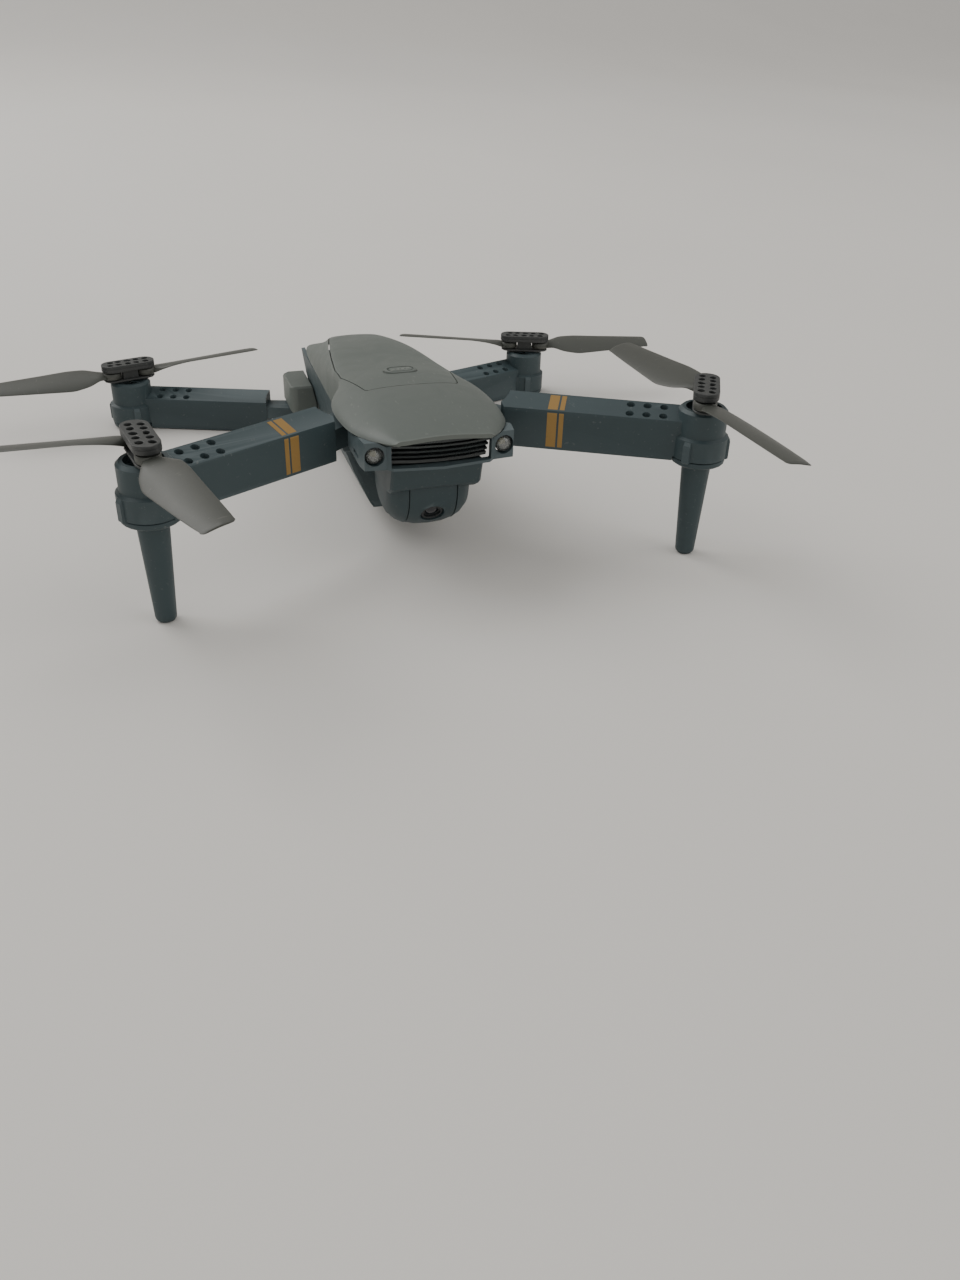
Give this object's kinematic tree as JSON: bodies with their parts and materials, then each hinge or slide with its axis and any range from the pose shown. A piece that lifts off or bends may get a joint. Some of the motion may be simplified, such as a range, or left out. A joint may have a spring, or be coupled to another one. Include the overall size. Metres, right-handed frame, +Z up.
{
  "type": "foldable mini quadcopter drone",
  "caption": "Palm-size foldable camera drone with a tapered two-tone body, folding arms carrying hinged-blade propellers, front landing legs and a tilting ball camera under the nose.",
  "frame": {"origin": "on the standing plane, under the middle of the drone's width and length with the arms open as stored", "axes": "+X to the drone's left-hand side as seen by someone facing its nose, -Y the way the nose points, +Z up"},
  "size_m": [0.2602, 0.2281, 0.0538],
  "materials": {
    "top_shell": "fine matte grey-green paint over moulded plastic",
    "hull": "satin slate blue-green moulded plastic",
    "prop": "satin moulded plastic",
    "hub": "matte dark grey moulded plastic",
    "dark_trim": "gloss dark plastic",
    "lens": "polished dark lens plastic",
    "motor": "drawn steel can",
    "steel": "bright turned steel",
    "board": "solder-masked board",
    "cell": "foil pouch"
  },
  "bodies": {
    "body": {"upper_shell": "top_shell", "top_panel": "top_shell", "lower_hull": "hull", "nose_bezel": "hull", "front_grille": "dark_trim", "headlamp_left": "lens", "headlamp_right": "lens", "chin_fairing": "hull", "camera_axle": "steel", "main_board": "board", "rear_hinge_block_left": "top_shell", "rear_hinge_block_right": "top_shell", "front_hinge_bracket_left": "hull", "front_hinge_bracket_right": "hull", "hinge_pin_front_left": "steel", "hinge_pin_front_right": "steel", "hinge_pin_rear_left": "steel", "hinge_pin_rear_right": "steel"},
    "battery": {"battery_case": "hull", "battery_cell": "cell"},
    "button": {"power_button": "top_shell"},
    "camera": {"camera_barrel": "hull", "camera_lens": "lens"},
    "arm_front_left_body": {"arm_front_left": "hull", "arm_cover_front_left": "hull", "pod_cover_front_left": "hull", "motor_can_front_left": "motor"},
    "rotor_front_left": {"prop_hub_front_left": "hub", "hub_cap_front_left": "hub", "motor_shaft_front_left": "steel"},
    "swing_front_left_a": {"blade_front_left_a": "prop"},
    "swing_front_left_b": {"blade_front_left_b": "prop"},
    "arm_front_right_body": {"arm_front_right": "hull", "arm_cover_front_right": "hull", "pod_cover_front_right": "hull", "motor_can_front_right": "motor"},
    "rotor_front_right": {"prop_hub_front_right": "hub", "hub_cap_front_right": "hub", "motor_shaft_front_right": "steel"},
    "swing_front_right_a": {"blade_front_right_a": "prop"},
    "swing_front_right_b": {"blade_front_right_b": "prop"},
    "arm_rear_left_body": {"arm_rear_left": "hull", "arm_cover_rear_left": "hull", "pod_cover_rear_left": "hull", "motor_can_rear_left": "motor"},
    "rotor_rear_left": {"prop_hub_rear_left": "hub", "hub_cap_rear_left": "hub", "motor_shaft_rear_left": "steel"},
    "swing_rear_left_a": {"blade_rear_left_a": "prop"},
    "swing_rear_left_b": {"blade_rear_left_b": "prop"},
    "arm_rear_right_body": {"arm_rear_right": "hull", "arm_cover_rear_right": "hull", "pod_cover_rear_right": "hull", "motor_can_rear_right": "motor"},
    "rotor_rear_right": {"prop_hub_rear_right": "hub", "hub_cap_rear_right": "hub", "motor_shaft_rear_right": "steel"},
    "swing_rear_right_a": {"blade_rear_right_a": "prop"},
    "swing_rear_right_b": {"blade_rear_right_b": "prop"}
  },
  "joints": [
    {"name": "fold_front_left", "type": "hinge", "parent": "body", "child": "arm_front_left_body", "pos_m": [-0.0188, -0.0251, 0.0365], "axis": [0, 0, 1], "range_deg": [-114, 0]},
    {"name": "fold_front_right", "type": "hinge", "parent": "body", "child": "arm_front_right_body", "pos_m": [0.0188, -0.0251, 0.0365], "axis": [0, 0, 1], "range_deg": [0, 114]},
    {"name": "fold_rear_left", "type": "hinge", "parent": "body", "child": "arm_rear_left_body", "pos_m": [-0.0185, 0.0673, 0.0078], "axis": [0, 0, 1], "range_deg": [0, 95]},
    {"name": "fold_rear_right", "type": "hinge", "parent": "body", "child": "arm_rear_right_body", "pos_m": [0.0185, 0.0673, 0.0078], "axis": [0, 0, 1], "range_deg": [-95, 0]},
    {"name": "spin_front_left", "type": "hinge", "parent": "arm_front_left_body", "child": "rotor_front_left", "pos_m": [-0.0785, -0.0622, 0.0488], "axis": [0, 0, 1], "continuous": true},
    {"name": "spin_front_right", "type": "hinge", "parent": "arm_front_right_body", "child": "rotor_front_right", "pos_m": [0.0785, -0.0622, 0.0488], "axis": [0, 0, 1], "continuous": true},
    {"name": "spin_rear_left", "type": "hinge", "parent": "arm_rear_left_body", "child": "rotor_rear_left", "pos_m": [-0.0785, 0.0884, 0.0193], "axis": [0, 0, 1], "continuous": true},
    {"name": "spin_rear_right", "type": "hinge", "parent": "arm_rear_right_body", "child": "rotor_rear_right", "pos_m": [0.0785, 0.0884, 0.0193], "axis": [0, 0, 1], "continuous": true},
    {"name": "swing_front_left_a", "type": "hinge", "parent": "rotor_front_left", "child": "swing_front_left_a", "pos_m": [-0.07739, -0.0685, 0.0497], "axis": [0, 0, -1], "range_deg": [-79.7, 90.3]},
    {"name": "swing_front_left_b", "type": "hinge", "parent": "rotor_front_left", "child": "swing_front_left_b", "pos_m": [-0.07961, -0.0559, 0.0497], "axis": [0, 0, 1], "range_deg": [-163.5, 6.5]},
    {"name": "swing_front_right_a", "type": "hinge", "parent": "rotor_front_right", "child": "swing_front_right_a", "pos_m": [0.0755, -0.06785, 0.0497], "axis": [0, 0, -1], "range_deg": [-53, 117]},
    {"name": "swing_front_right_b", "type": "hinge", "parent": "rotor_front_right", "child": "swing_front_right_b", "pos_m": [0.0815, -0.05655, 0.0497], "axis": [0, 0, 1], "range_deg": [-123.5, 46.5]},
    {"name": "swing_rear_left_a", "type": "hinge", "parent": "rotor_rear_left", "child": "swing_rear_left_a", "pos_m": [-0.07235, 0.09015, 0.0202], "axis": [0, 0, -1], "range_deg": [-80.4, 89.6]},
    {"name": "swing_rear_left_b", "type": "hinge", "parent": "rotor_rear_left", "child": "swing_rear_left_b", "pos_m": [-0.08465, 0.08665, 0.0202], "axis": [0, 0, 1], "range_deg": [-80.4, 89.6]},
    {"name": "swing_rear_right_a", "type": "hinge", "parent": "rotor_rear_right", "child": "swing_rear_right_a", "pos_m": [0.08459, 0.08643, 0.0202], "axis": [0, 0, -1], "range_deg": [-75.4, 94.6]},
    {"name": "swing_rear_right_b", "type": "hinge", "parent": "rotor_rear_right", "child": "swing_rear_right_b", "pos_m": [0.07241, 0.09037, 0.0202], "axis": [0, 0, 1], "range_deg": [-75.5, 94.5]},
    {"name": "camera_tilt", "type": "hinge", "parent": "body", "child": "camera", "pos_m": [0, -0.0391, 0.0245], "axis": [1, 0, 0], "range_deg": [-30, 40]},
    {"name": "battery_slide", "type": "slide", "parent": "body", "child": "battery", "axis": [0, 1, 0], "range_m": [0, 0.06]},
    {"name": "button_press", "type": "slide", "parent": "body", "child": "button", "axis": [0, 0, -1], "range_m": [0, 0.0006], "stiffness_N_per_m": 800, "springref_m": -0.0005}
  ]
}
